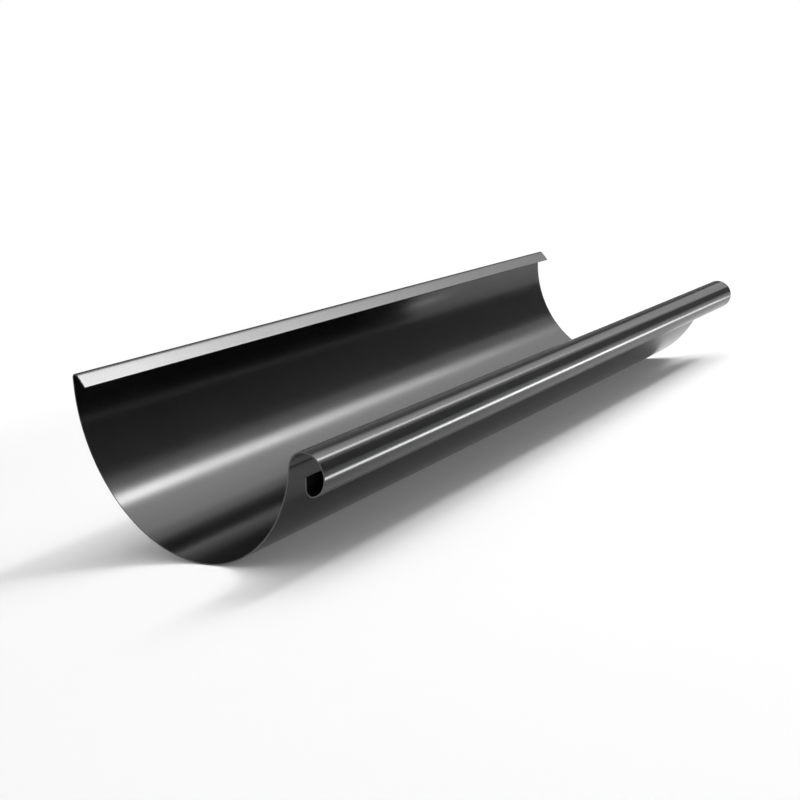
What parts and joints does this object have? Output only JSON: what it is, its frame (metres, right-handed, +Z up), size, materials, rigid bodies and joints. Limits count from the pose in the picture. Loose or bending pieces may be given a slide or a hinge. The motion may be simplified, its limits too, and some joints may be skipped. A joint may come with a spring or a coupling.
{
  "type": "gutter section",
  "caption": "Half-round eaves gutter length in black coated sheet steel, with a rolled front bead and a folded back edge.",
  "frame": {"origin": "on the floor under the middle of the gutter's footprint, half way along it", "axes": "+Z up, +Y along the gutter to the far end, +X across the gutter to the front bead; the gutter lies open side up, rolled 13.4 degrees towards the bead, as it comes to rest"},
  "size_m": [0.1396, 0.3984, 0.0836],
  "materials": {
    "coated_steel": "semi-gloss black coil coating"
  },
  "bodies": {
    "root": {"gutter_sheet": "coated_steel"}
  },
  "joints": []
}
